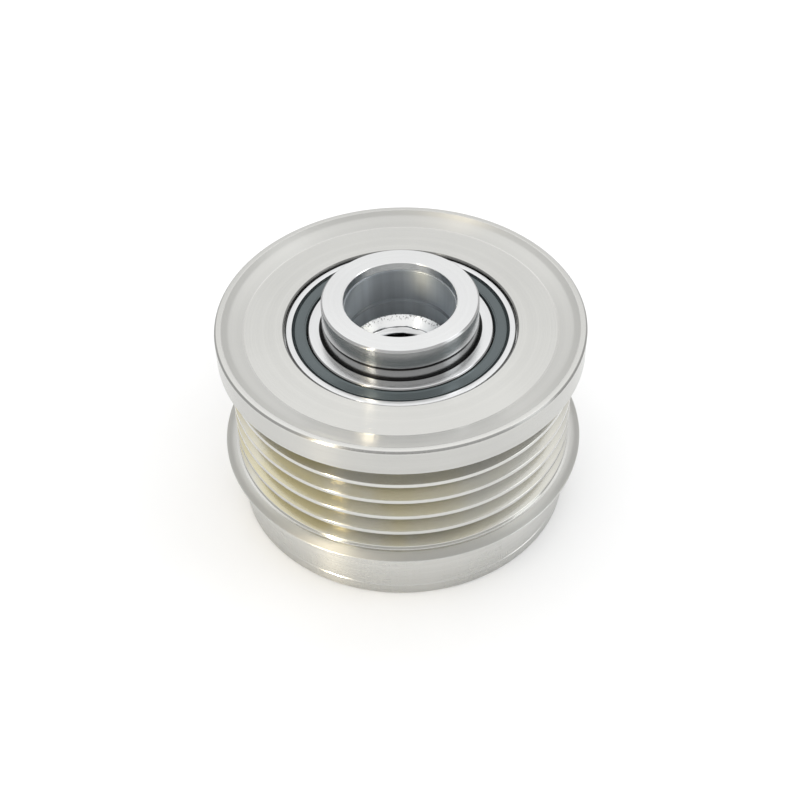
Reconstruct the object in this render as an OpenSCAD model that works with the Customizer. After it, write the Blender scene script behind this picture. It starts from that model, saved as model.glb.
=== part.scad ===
// Overrunning alternator pulley: a belt pulley that drives its hub one way and freewheels the other.
// Z runs along the axis. The front end of the rim stands on Z = 0 and the hub's rear face is at the top.

/* [Pulley rim] */
// Height of the rim's rear edge above its front end
rim_h = 34.9; // [34:0.1:36]
// Outside diameter of the rear flange
rear_flange_d = 59; // [58:0.1:61]
// Height of the rear flange's cylindrical side
rear_flange_w = 4.5; // [3:0.1:6]
// Depth of the flat rear face below the rim's rear edge
rear_dish = 1.1; // [0:0.1:2]
// Diameter where the flat rear face turns into the raised cone
rear_flat_d = 49.8; // [45:0.1:54]
// Inner diameter of the narrow land on the rear edge
rear_land_d = 57; // [54:0.1:58.4]
// Outside diameter of the front flange
front_flange_d = 59.8; // [58:0.1:61]
// Height of the front flange's outer edge above the front end
front_flange_z = 10.8; // [9:0.1:11]
// Diameter of the plain front end
front_end_d = 55.5; // [54:0.1:57]
// Height of the fine turned line round the front end
front_line_z = 2.35; // [1.5:0.05:4]
// Diameter of the front recess, where a dust cap snaps in
cap_recess_d = 44.8; // [40:0.1:50]
// Depth of the front recess
cap_recess_depth = 2.8; // [2:0.1:3]

/* [Belt grooves] */
// Number of belt grooves
groove_count = 5; // [5:1:5]
// Distance from one groove to the next
groove_pitch = 3.56; // [3.5:0.01:3.6]
// Angle between the two sides of a groove
groove_angle = 40; // [38:0.5:42]
// Diameter over the crests between the grooves
crest_d = 55.6; // [54:0.1:57]
// Width of a crest
crest_w = 0.66; // [0.4:0.01:0.9]
// Width of a groove's bottom
groove_root_w = 0.5; // [0.3:0.01:0.8]
// Height of the middle groove
belt_mid_z = 20.5; // [20:0.01:21]

/* [Hub] */
// Height of the hub's rear face
hub_top_z = 39; // [38:0.1:40]
// Height of the hub's front face
hub_bottom_z = 1.6; // [1:0.1:2]
// Diameter of the hub's bearing seats
hub_d = 25; // [24:0.1:26]
// Diameter of the collar at the hub's rear end
collar_d = 24.9; // [24:0.1:25]
// Height of the collar
collar_h = 3.5; // [2:0.1:4]
// Height of the turned groove under the collar
collar_groove_h = 0.6; // [0.4:0.1:1]
// Diameter of the bore that centres the hub on the alternator shaft
pilot_d = 17; // [16.9:0.05:17.1]
// Height where that bore starts
pilot_top_z = 31.1; // [30:0.1:33]
// Diameter of the clearance bore above it
clearance_d = 17.6; // [17.2:0.1:18]
// Diameter of the hub's mouth
mouth_d = 17.9; // [17.6:0.1:19]
// Depth of the mouth
mouth_depth = 1.7; // [1:0.1:3]
// Height where the bore ends and the countersink starts
bore_end_z = 28.4; // [27.5:0.1:29.5]
// Core diameter of the M14 x 1.5 thread
thread_core_d = 12.376; // [12.2:0.001:12.6]
// Number of teeth in the tool socket
socket_teeth = 33; // [33:1:33]
// Diameter over the tips of the socket's teeth
socket_tip_d = 16.3; // [16:0.1:16.6]
// Diameter at the bottom of the socket's tooth gaps
socket_root_d = 17.4; // [17:0.1:17.8]
// Depth of the tool socket
socket_depth = 10; // [8:0.5:11]

/* [Bearings] */
// Outside diameter of both ball bearings
bearing_d = 37; // [36.9:0.05:37.1]
// Width of both ball bearings
bearing_w = 7; // [6.9:0.05:7.1]
// Height of the rear bearing's lower face
rear_bearing_z = 26.4; // [26:0.1:26.8]
// Height of the front bearing's lower face
front_bearing_z = 4.4; // [4.2:0.1:4.6]
// Ball diameter
ball_d = 3.175; // [3:0.005:3.5]
// Diameter of the circle through the ball centres
ball_circle_d = 31; // [30.5:0.1:31.5]
// Number of balls in a bearing
ball_count = 18; // [14:1:19]
// Outside diameter of the inner ring
inner_ring_d = 29.6; // [29:0.1:29.8]
// Inside diameter of the outer ring beside the balls
outer_shoulder_d = 33; // [32.8:0.1:33.4]
// Diameter of the outer ring's seat for the seal
seal_d = 34.7; // [34.2:0.1:35]
// Inside diameter of the seal's flat part
seal_hole_d = 30.1; // [30:0.1:31]

/* [Clutch] */
// Number of clutch rollers
roller_count = 10; // [8:1:10]
// Roller diameter
roller_d = 3.5; // [3.4:0.1:3.6]
// Roller length
roller_l = 10; // [8:0.5:10.5]
// Outside diameter of the rollers' inner race
sleeve_d = 26.5; // [26.3:0.1:26.7]
// Inside diameter of the cam ring between its ramps
cam_land_d = 32.6; // [32.4:0.1:33]
// Angle of each ramp
ramp_angle = 6; // [4:0.5:8]

/* [Fits] */
// Gap between rolling pieces and what they roll on
running_gap = 0.02; // [0.01:0.005:0.05]

/* [Hidden] */
$fn = 96;
fine = 24;
// cutters reach this far past the faces they open
over = 1;

// rim
rim_r = rear_flange_d / 2;
rear_flat_z = rim_h - rear_dish;
edge_break = 0.3;
small_break = 0.25;
crest_r = crest_d / 2;
groove_top_w = groove_pitch - crest_w;
groove_depth = (groove_top_w - groove_root_w) / 2 / tan(groove_angle / 2);
first_groove_z = belt_mid_z + (groove_count - 1) / 2 * groove_pitch;
last_groove_z = belt_mid_z - (groove_count - 1) / 2 * groove_pitch;
last_crest_z = last_groove_z - groove_top_w / 2 - crest_w;
front_flange_r = front_flange_d / 2;
front_flange_lip = 0.23;
flange_step_w = 0.5;
flange_step_h = 0.1;
front_end_r = front_end_d / 2;
front_neck_z = 9.1;
front_line_depth = 0.15;
front_line_half = 0.15;
front_taper = 0.15;
bearing_r = bearing_d / 2;
cap_recess_r = cap_recess_d / 2;
cap_groove_r = cap_recess_r + 0.6;
cap_groove_z = 1;
cap_groove_h = 0.8;

// retaining rings
pulley_snap_h = 1.2;
pulley_snap_out_r = 19.3;
pulley_snap_in_r = 16.9;
pulley_snap_groove_r = 19.4;
snap_side_gap = 0.1;
ear_r = 1.7;
ear_hole_r = 0.9;
ear_circle_r = 17.1;
ear_angle = 14;
pulley_snap_gap_angle = 22;
hub_snap_h = 1;
hub_snap_out_r = 13.8;
hub_snap_groove_r = 11.9;
hub_snap_gap_w = 2.4;

// hub
hub_r = hub_d / 2;
collar_r = collar_d / 2;
collar_z = hub_top_z - collar_h;
collar_groove_z = collar_z - collar_groove_h;
collar_groove_r = 12.05;
collar_chamfer = 0.3;
hub_chamfer = 0.3;
bore_break = 0.15;
pilot_r = pilot_d / 2;
clearance_r = clearance_d / 2;
mouth_r = mouth_d / 2;
// height of the taper that leads the shaft into the bore
pilot_lead_h = 0.5;
thread_core_r = thread_core_d / 2;
thread_top_z = bore_end_z - (pilot_r - thread_core_r);
socket_tip_r = socket_tip_d / 2;
socket_root_r = socket_root_d / 2;
socket_end_z = hub_bottom_z + socket_depth;
socket_runout_r = 7.2;
thread_bottom_z = socket_end_z + 1.6;
socket_mouth_r = 9.1;
// half widths of a tooth tip and of a gap's bottom, as shares of one tooth's step
tooth_share = 0.1;
gap_share = 0.12;

// bearings
ball_r = ball_d / 2;
ball_circle_r = ball_circle_d / 2;
race_r = 0.52 * ball_d;
race_shift = race_r - ball_r - running_gap;
inner_ring_r = inner_ring_d / 2;
outer_shoulder_r = outer_shoulder_d / 2;
seal_r = seal_d / 2;
seal_hole_r = seal_hole_d / 2;
ring_chamfer = 0.3;
bore_chamfer = 0.5;
ring_break = 0.1;
seal_ledge = 0.9;
seal_recess = 0.2;
// open groove between the seal's flat part and the outer ring
seal_edge_w = 0.45;
seal_edge_depth = 0.5;
seal_lip_r = 14.9;
seal_lip_w = 0.3;
seal_lip_depth = 1.15;
seal_bead_w = 0.25;
seal_bead_h = 0.1;
insert_h = 0.25;
insert_in_r = 15.75;
insert_out_r = 17.2;
ball_cage_in_r = 14.98;
ball_cage_out_r = 16.3;
ball_cage_base = 1.42;
ball_cage_top = 4.35;
ball_pocket_r = 1.64;
prong_notch_w = 0.7;
prong_notch_depth = 0.9;
rear_mid_z = rear_bearing_z + bearing_w / 2;

// clutch
sleeve_r = sleeve_d / 2;
plate_h = 0.8;
plate_in_r = 15.2;
spacer_r = 14.5;
spacer_h = 0.6;
clutch_z = front_bearing_z + bearing_w;
cam_z = clutch_z + plate_h;
cam_h = rear_bearing_z - plate_h - cam_z;
cam_land_r = cam_land_d / 2;
roller_r = roller_d / 2;
roller_circle_r = sleeve_r + roller_r + running_gap;
roller_z = clutch_z + (rear_bearing_z - clutch_z - roller_l) / 2;
roller_chamfer = 0.2;
// the ramp's distance from the axis and its two ends along the ramp
ramp_dist = roller_circle_r * cos(ramp_angle) + roller_r + running_gap;
ramp_start = -0.5;
ramp_end = 5.6;
cage_in_r = 13.6;
cage_out_r = 16.1;
cage_end_gap = 0.1;
window_gap = 0.2;
window_front = 1.9;
window_back = 4.35;
lug_w = 2.4;
lug_h = 1;
lug_out_r = 16.9;
lug_slot_w = 2.6;
lug_slot_r = 17.05;
lug_slot_h = 1.3;
lug_angle = -10;
strip_t = 0.2;
spring_h = 8;

// A turned solid: pts are radius and height pairs
module turned(pts) rotate_extrude() polygon(pts);

// A plain ring
module ring(r_in, r_out, z, h) {
    translate([0, 0, z]) difference() {
        cylinder(r = r_out, h = h);
        translate([0, 0, -over]) cylinder(r = r_in, h = h + 2 * over);
    }
}

// The profile of one belt groove, open towards the outside
module groove_profile(z) {
    past = over * tan(groove_angle / 2);
    polygon([[crest_r - groove_depth, z - groove_root_w / 2],
        [crest_r + over, z - groove_top_w / 2 - past],
        [crest_r + over, z + groove_top_w / 2 + past],
        [crest_r - groove_depth, z + groove_root_w / 2]]);
}

// The rim's outline before the grooves are cut
module rim_profile() {
    polygon([[bearing_r, cap_recess_depth], [cap_recess_r, cap_recess_depth],
        [cap_recess_r, cap_groove_z + cap_groove_h], [cap_groove_r, cap_groove_z + cap_groove_h],
        [cap_groove_r, cap_groove_z], [cap_recess_r, cap_groove_z],
        [cap_recess_r, small_break], [cap_recess_r + small_break, 0],
        [front_end_r - front_taper - small_break, 0], [front_end_r - front_taper, small_break],
        [front_end_r, front_line_z - front_line_half],
        [front_end_r - front_line_depth, front_line_z],
        [front_end_r, front_line_z + front_line_half],
        [front_end_r, front_neck_z],
        [front_flange_r, front_flange_z - front_flange_lip],
        [front_flange_r, front_flange_z],
        [front_flange_r - ring_break, front_flange_z + ring_break],
        [crest_r + flange_step_w, last_crest_z - flange_step_h],
        [crest_r, last_crest_z],
        [crest_r, first_groove_z + groove_top_w / 2],
        [rim_r, rim_h - rear_flange_w],
        [rim_r, rim_h - edge_break],
        [rim_r - edge_break / 4, rim_h - edge_break / 3],
        [rim_r - edge_break, rim_h],
        [rear_land_d / 2, rim_h],
        [rear_flat_d / 2, rear_flat_z],
        [bearing_r + small_break, rear_flat_z],
        [bearing_r, rear_flat_z - small_break]]);
}

module pulley() {
    color("silver") rotate_extrude() difference() {
        rim_profile();
        for (i = [0 : groove_count - 1]) groove_profile(first_groove_z - i * groove_pitch);
        translate([0, front_bearing_z - pulley_snap_h - snap_side_gap])
            square([pulley_snap_groove_r, pulley_snap_h + snap_side_gap]);
    }
}

// The tool socket's outline: pointed teeth all round
module socket_outline() {
    step = 360 / socket_teeth;
    polygon([for (i = [0 : socket_teeth - 1], p = [[socket_tip_r, -tooth_share],
            [socket_tip_r, tooth_share], [socket_root_r, 0.5 - gap_share], [socket_root_r, 0.5 + gap_share]])
        p[0] * [cos((i + p[1]) * step), sin((i + p[1]) * step)]]);
}

module hub() {
    color("gainsboro") difference() {
        turned([[thread_core_r, thread_bottom_z],
            [socket_runout_r, thread_bottom_z - (socket_runout_r - thread_core_r)],
            [socket_runout_r, hub_bottom_z + socket_mouth_r - socket_runout_r],
            [socket_mouth_r, hub_bottom_z],
            [hub_r - hub_chamfer, hub_bottom_z], [hub_r, hub_bottom_z + hub_chamfer],
            [hub_r, front_bearing_z - hub_snap_h - snap_side_gap],
            [hub_snap_groove_r, front_bearing_z - hub_snap_h - snap_side_gap],
            [hub_snap_groove_r, front_bearing_z], [hub_r, front_bearing_z],
            [hub_r, collar_groove_z], [collar_groove_r, collar_groove_z],
            [collar_groove_r, collar_z], [collar_r, collar_z],
            [collar_r, hub_top_z - collar_chamfer], [collar_r - collar_chamfer, hub_top_z],
            [mouth_r + bore_break, hub_top_z], [mouth_r, hub_top_z - bore_break],
            [mouth_r, hub_top_z - mouth_depth], [clearance_r, hub_top_z - mouth_depth],
            [clearance_r, pilot_top_z + pilot_lead_h], [pilot_r, pilot_top_z],
            [pilot_r, bore_end_z], [thread_core_r, thread_top_z]]);
        translate([0, 0, hub_bottom_z - over]) linear_extrude(socket_depth + over) socket_outline();
    }
}

// Outer ring of a bearing whose lower face is at height z
module outer_ring(z) {
    translate([0, 0, z]) rotate_extrude() difference() {
        polygon([[outer_shoulder_r, seal_ledge], [seal_r, seal_ledge], [seal_r, 0],
            [bearing_r - ring_chamfer, 0], [bearing_r, ring_chamfer],
            [bearing_r, bearing_w - ring_chamfer], [bearing_r - ring_chamfer, bearing_w],
            [seal_r, bearing_w], [seal_r, bearing_w - seal_ledge],
            [outer_shoulder_r, bearing_w - seal_ledge]]);
        translate([ball_circle_r - race_shift, bearing_w / 2]) circle(race_r);
    }
}

// Inner ring of a bearing whose lower face is at height z
module inner_ring(z) {
    translate([0, 0, z]) rotate_extrude() difference() {
        polygon([[hub_r + bore_chamfer, 0], [inner_ring_r - ring_break, 0], [inner_ring_r, ring_break],
            [inner_ring_r, bearing_w - ring_break], [inner_ring_r - ring_break, bearing_w],
            [hub_r + bore_chamfer, bearing_w], [hub_r, bearing_w - bore_chamfer],
            [hub_r, bore_chamfer]]);
        translate([ball_circle_r + race_shift, bearing_w / 2]) circle(race_r);
    }
}

// Rubber seal with its outside facing up and level with a bearing face at height z
module seal_up(z) {
    rubber_back = seal_ledge - insert_h;
    translate([0, 0, z]) turned([[seal_r, -seal_edge_depth], [seal_r, -seal_ledge],
        [insert_out_r, -seal_ledge], [insert_out_r, -rubber_back],
        [insert_in_r, -rubber_back], [insert_in_r, -seal_ledge],
        [seal_lip_r + seal_lip_w, -seal_lip_depth], [seal_lip_r, -seal_lip_depth],
        [seal_hole_r, -rubber_back], [seal_hole_r, -seal_recess + seal_bead_h],
        [seal_hole_r + seal_bead_w, -seal_recess + seal_bead_h],
        [seal_hole_r + seal_bead_w + seal_bead_h, -seal_recess],
        [seal_r - seal_edge_w, -seal_recess], [seal_r - seal_edge_w, -seal_edge_depth]]);
}

module seal_down(z) translate([0, 0, z]) mirror([0, 0, 1]) seal_up(0);

module balls(z) {
    for (i = [0 : ball_count - 1]) rotate(i * 360 / ball_count)
        translate([ball_circle_r, 0, z + bearing_w / 2]) sphere(ball_r, $fn = fine);
}

// Crown cage: pockets open upwards, with a notch between each pair of prongs
module ball_cage(z) {
    step = 360 / ball_count;
    translate([0, 0, z]) difference() {
        ring(ball_cage_in_r, ball_cage_out_r, ball_cage_base, ball_cage_top - ball_cage_base);
        for (i = [0 : ball_count - 1]) rotate(i * step) {
            translate([ball_circle_r, 0, bearing_w / 2]) sphere(ball_pocket_r, $fn = fine);
            rotate(step / 2) translate([ball_circle_r - over, -prong_notch_w / 2,
                ball_cage_top - prong_notch_depth])
                cube([2 * over, prong_notch_w, prong_notch_depth + over]);
        }
    }
}

// One ramp pocket of the cam ring, for the roller at angle 0
module ramp_pocket() {
    rotate(-ramp_angle) translate([0, ramp_start, cam_z - over])
        cube([ramp_dist, ramp_end - ramp_start, cam_h + 2 * over]);
}

module clutch_cam_ring() {
    color("slategray") difference() {
        ring(cam_land_r, bearing_r, cam_z, cam_h);
        for (i = [0 : roller_count - 1]) rotate(i * 360 / roller_count) ramp_pocket();
        for (a = [0, 180]) rotate(a + lug_angle) translate([0, -lug_slot_w / 2, cam_z - over])
            cube([lug_slot_r, lug_slot_w, lug_slot_h + over]);
    }
}

module clutch_rollers() {
    color("lightgray") for (i = [0 : roller_count - 1]) rotate(i * 360 / roller_count)
        translate([roller_circle_r, 0, roller_z]) turned([[0, 0], [roller_r - roller_chamfer, 0],
            [roller_r, roller_chamfer], [roller_r, roller_l - roller_chamfer],
            [roller_r - roller_chamfer, roller_l], [0, roller_l]]);
}

module clutch_cage() {
    h = cam_h - 2 * cage_end_gap;
    color("darkolivegreen") difference() {
        union() {
            ring(cage_in_r, cage_out_r, cam_z + cage_end_gap, h);
            for (a = [0, 180]) rotate(a + lug_angle)
                translate([cage_out_r - lug_h / 2, -lug_w / 2, cam_z + cage_end_gap])
                    cube([lug_out_r - cage_out_r + lug_h / 2, lug_w, lug_h]);
        }
        for (i = [0 : roller_count - 1]) rotate(i * 360 / roller_count)
            translate([cage_in_r - over, -window_front, roller_z - window_gap])
                cube([cage_out_r - cage_in_r + 2 * over, window_front + window_back,
                    roller_l + 2 * window_gap]);
    }
}

// One straight leg of a bent strip with a rounded end
module leg(a, b) {
    d = b - a;
    translate(a) rotate(atan2(d[1], d[0])) translate([0, -strip_t / 2]) square([norm(d), strip_t]);
    translate(b) circle(strip_t / 2, $fn = fine);
}

module clutch_springs() {
    back = window_back - strip_t / 2;
    path = [[cage_in_r + 0.5, back], [cage_out_r - 0.8, back], [cage_in_r + 0.6, back - 1.05],
        [cage_out_r - 0.7, back - 1.9], [roller_circle_r - 0.1, roller_r + 0.13]];
    color("dimgray") for (i = [0 : roller_count - 1]) rotate(i * 360 / roller_count)
        translate([0, 0, roller_z + (roller_l - spring_h) / 2]) linear_extrude(spring_h)
            for (k = [0 : len(path) - 2]) leg(path[k], path[k + 1]);
}

module pulley_snap_ring() {
    color("darkslategray") translate([0, 0, front_bearing_z - pulley_snap_h]) linear_extrude(pulley_snap_h)
        difference() {
            union() {
                difference() {
                    circle(pulley_snap_out_r);
                    circle(pulley_snap_in_r);
                }
                for (s = [-1, 1]) rotate(s * ear_angle) translate([ear_circle_r, 0])
                    circle(ear_r, $fn = fine);
            }
            for (s = [-1, 1]) rotate(s * ear_angle) translate([ear_circle_r, 0])
                circle(ear_hole_r, $fn = fine);
            polygon([[0, 0],
                [2 * bearing_r, -2 * bearing_r * tan(pulley_snap_gap_angle / 2)],
                [2 * bearing_r, 2 * bearing_r * tan(pulley_snap_gap_angle / 2)]]);
        }
}

module hub_snap_ring() {
    color("darkslategray") translate([0, 0, front_bearing_z - hub_snap_h]) linear_extrude(hub_snap_h)
        difference() {
            circle(hub_snap_out_r);
            circle(hub_snap_groove_r);
            translate([0, -hub_snap_gap_w / 2]) square([bearing_r, hub_snap_gap_w]);
        }
}

module rear_outer_ring() color("whitesmoke") outer_ring(rear_bearing_z);
module rear_inner_ring() color("whitesmoke") inner_ring(rear_bearing_z);
module rear_outer_seal() color("black") seal_up(rear_bearing_z + bearing_w);
module rear_inner_seal() color("black") seal_down(rear_bearing_z);
module rear_balls() color("white") balls(rear_bearing_z);
module rear_ball_cage() color("saddlebrown") ball_cage(rear_bearing_z);
module front_outer_ring() color("whitesmoke") outer_ring(front_bearing_z);
module front_inner_ring() color("whitesmoke") inner_ring(front_bearing_z);
module front_outer_seal() color("black") seal_down(front_bearing_z);
module front_inner_seal() color("black") seal_up(front_bearing_z + bearing_w);
module front_balls() color("white") balls(front_bearing_z);
module front_ball_cage() color("saddlebrown") ball_cage(front_bearing_z);

module seal_inserts() {
    color("gray") for (z = [rear_bearing_z, front_bearing_z]) {
        ring(insert_in_r, insert_out_r, z + seal_ledge - insert_h, insert_h);
        ring(insert_in_r, insert_out_r, z + bearing_w - seal_ledge, insert_h);
    }
}

module clutch_inner_sleeve()
    color("gray") ring(hub_r, sleeve_r, clutch_z + spacer_h, rear_bearing_z - clutch_z - 2 * spacer_h);
module clutch_rear_plate() color("gray") ring(plate_in_r, bearing_r, rear_bearing_z - plate_h, plate_h);
module clutch_front_plate() color("gray") ring(plate_in_r, bearing_r, clutch_z, plate_h);
module rear_spacer() color("gray") ring(hub_r, spacer_r, rear_bearing_z - spacer_h, spacer_h);
module front_spacer() color("gray") ring(hub_r, spacer_r, clutch_z, spacer_h);

pulley();
hub();
rear_outer_ring();
rear_inner_ring();
rear_outer_seal();
rear_inner_seal();
rear_balls();
rear_ball_cage();
front_outer_ring();
front_inner_ring();
front_outer_seal();
front_inner_seal();
front_balls();
front_ball_cage();
seal_inserts();
clutch_cam_ring();
clutch_inner_sleeve();
clutch_rollers();
clutch_cage();
clutch_springs();
clutch_rear_plate();
clutch_front_plate();
rear_spacer();
front_spacer();
pulley_snap_ring();
hub_snap_ring();
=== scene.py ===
"""Looks of the overrunning alternator pulley: turned steel, sealed bearings, stage, lights and camera.

Lengths of the pulley are in millimetres here and become metres when a mesh or a material is made. The
floor and the lights are in metres. Z runs along the axis.
"""

import math
from functools import lru_cache

import bmesh
import bpy
from mathutils import Matrix, Vector


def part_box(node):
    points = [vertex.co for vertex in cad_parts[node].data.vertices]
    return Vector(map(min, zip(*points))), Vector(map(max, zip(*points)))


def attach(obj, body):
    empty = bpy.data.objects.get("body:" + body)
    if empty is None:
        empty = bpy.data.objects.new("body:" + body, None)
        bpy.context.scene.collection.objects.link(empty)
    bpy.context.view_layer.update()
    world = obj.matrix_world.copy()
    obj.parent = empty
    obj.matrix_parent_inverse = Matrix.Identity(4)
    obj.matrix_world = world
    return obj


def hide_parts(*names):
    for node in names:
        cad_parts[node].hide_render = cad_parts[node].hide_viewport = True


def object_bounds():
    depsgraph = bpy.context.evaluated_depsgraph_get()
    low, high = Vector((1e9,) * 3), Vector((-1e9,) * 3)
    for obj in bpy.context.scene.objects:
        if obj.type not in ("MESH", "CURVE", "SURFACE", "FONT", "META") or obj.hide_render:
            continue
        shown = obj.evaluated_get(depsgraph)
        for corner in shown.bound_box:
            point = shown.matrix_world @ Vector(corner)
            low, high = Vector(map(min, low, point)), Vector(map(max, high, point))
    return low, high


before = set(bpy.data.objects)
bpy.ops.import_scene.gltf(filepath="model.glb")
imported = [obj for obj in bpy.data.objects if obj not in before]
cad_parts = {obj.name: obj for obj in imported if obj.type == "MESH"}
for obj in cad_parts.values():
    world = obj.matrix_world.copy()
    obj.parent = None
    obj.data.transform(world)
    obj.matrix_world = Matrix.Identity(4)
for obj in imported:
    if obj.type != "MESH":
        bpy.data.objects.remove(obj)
cad_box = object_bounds()

MM = 0.001
TURN = 2 * math.pi
# an edge between faces at more than this angle stays sharp
SHARP = math.radians(33)
# a corner whose half angle is more than this is too flat to round
NEARLY_STRAIGHT = math.radians(88)
# a rounding takes at most this share of the sides beside its corner
SIDE_SHARE = 0.45


# ---------------------------------------------------------------- sizes read from the frame

@lru_cache(maxsize=None)
def limits(node):
    """(lowest z, highest z, outer radius) of a CAD node, in mm."""
    low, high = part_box(node)
    return low.z / MM, high.z / MM, high.x / MM


def low_z(node):
    return limits(node)[0]


def high_z(node):
    return limits(node)[1]


def radius_of(node):
    return limits(node)[2]


# ---------------------------------------------------------------- mesh making

def fillet(before, corner, after, radius, steps):
    """Points of an arc that rounds one corner of an outline."""
    a, c, b = Vector(before), Vector(corner), Vector(after)
    to_a, to_b = (a - c).normalized(), (b - c).normalized()
    half = to_a.angle(to_b) / 2
    if half > NEARLY_STRAIGHT:
        return [corner]
    reach = min(radius / math.tan(half), SIDE_SHARE * (a - c).length, SIDE_SHARE * (b - c).length)
    radius = reach * math.tan(half)
    centre = c + (to_a + to_b).normalized() * (radius / math.sin(half))
    start, end = c + to_a * reach - centre, c + to_b * reach - centre
    sweep = start.angle_signed(end)
    points = []
    for i in range(steps + 1):
        turned = Matrix.Rotation(-sweep * i / steps, 2) @ start
        points.append((centre.x + turned.x, centre.y + turned.y))
    return points


def rounded(outline, steps=4):
    """A closed outline of (r, z) or (r, z, rounding) points with its corners rounded."""
    points = []
    for i, point in enumerate(outline):
        before, after = outline[i - 1][:2], outline[(i + 1) % len(outline)][:2]
        rounding = point[2] if len(point) > 2 else 0
        points += fillet(before, point[:2], after, rounding, steps) if rounding else [point[:2]]
    return points


def finish_mesh(bm, name, material):
    """Turns a bmesh in millimetres into an object with smooth faces and sharp corners."""
    bmesh.ops.scale(bm, vec=(MM, MM, MM), verts=bm.verts)
    bmesh.ops.recalc_face_normals(bm, faces=bm.faces)
    for face in bm.faces:
        face.smooth = True
    for edge in bm.edges:
        if len(edge.link_faces) == 2 and edge.calc_face_angle() > SHARP:
            edge.smooth = False
    mesh = bpy.data.meshes.new(name)
    bm.to_mesh(mesh)
    bm.free()
    mesh.materials.append(material)
    piece = bpy.data.objects.new(name, mesh)
    bpy.context.scene.collection.objects.link(piece)
    weighted = piece.modifiers.new("weighted", "WEIGHTED_NORMAL")
    weighted.keep_sharp = True
    weighted.weight = 100
    return piece


def lathe(name, rows, material, columns=288):
    """A closed ring turned about Z. A row is (r, z); r may be a function of the angle and z.

    columns is a number of equal steps or a list of angles.
    """
    angles = columns if isinstance(columns, list) else [TURN * i / columns for i in range(columns)]
    bm = bmesh.new()
    rings = []
    for r, z in rows:
        ring = []
        for angle in angles:
            here = r(angle, z) if callable(r) else r
            ring.append(bm.verts.new((here * math.cos(angle), here * math.sin(angle), z)))
        rings.append(ring)
    for i, ring in enumerate(rings):
        below = rings[i - 1]
        for k in range(len(angles)):
            bm.faces.new((below[k - 1], below[k], ring[k], ring[k - 1]))
    return finish_mesh(bm, name, material)


def plate(name, outlines, z, height, edge, material):
    """A flat plate with rounded edges from closed (x, y) outlines, the first outside, the rest holes."""
    curve = bpy.data.curves.new(name + "_curve", "CURVE")
    curve.dimensions = "2D"
    curve.fill_mode = "BOTH"
    curve.extrude = (height / 2 - edge) * MM
    curve.bevel_depth = edge * MM
    curve.bevel_resolution = 2
    curve.offset = -edge * MM
    for outline in outlines:
        spline = curve.splines.new("POLY")
        spline.points.add(len(outline) - 1)
        for point, (x, y) in zip(spline.points, outline):
            point.co = (x * MM, y * MM, 0, 1)
        spline.use_cyclic_u = True
    maker = bpy.data.objects.new(name + "_curve", curve)
    bpy.context.scene.collection.objects.link(maker)
    bpy.context.view_layer.update()
    mesh = bpy.data.meshes.new_from_object(maker.evaluated_get(bpy.context.evaluated_depsgraph_get()))
    bpy.data.objects.remove(maker)
    bm = bmesh.new()
    bm.from_mesh(mesh)
    bpy.data.meshes.remove(mesh)
    bmesh.ops.remove_doubles(bm, verts=bm.verts, dist=1e-6)
    bmesh.ops.scale(bm, vec=(1 / MM, 1 / MM, 1 / MM), verts=bm.verts)
    bmesh.ops.translate(bm, vec=(0, 0, z + height / 2), verts=bm.verts)
    return finish_mesh(bm, name, material)


# ---------------------------------------------------------------- materials

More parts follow.
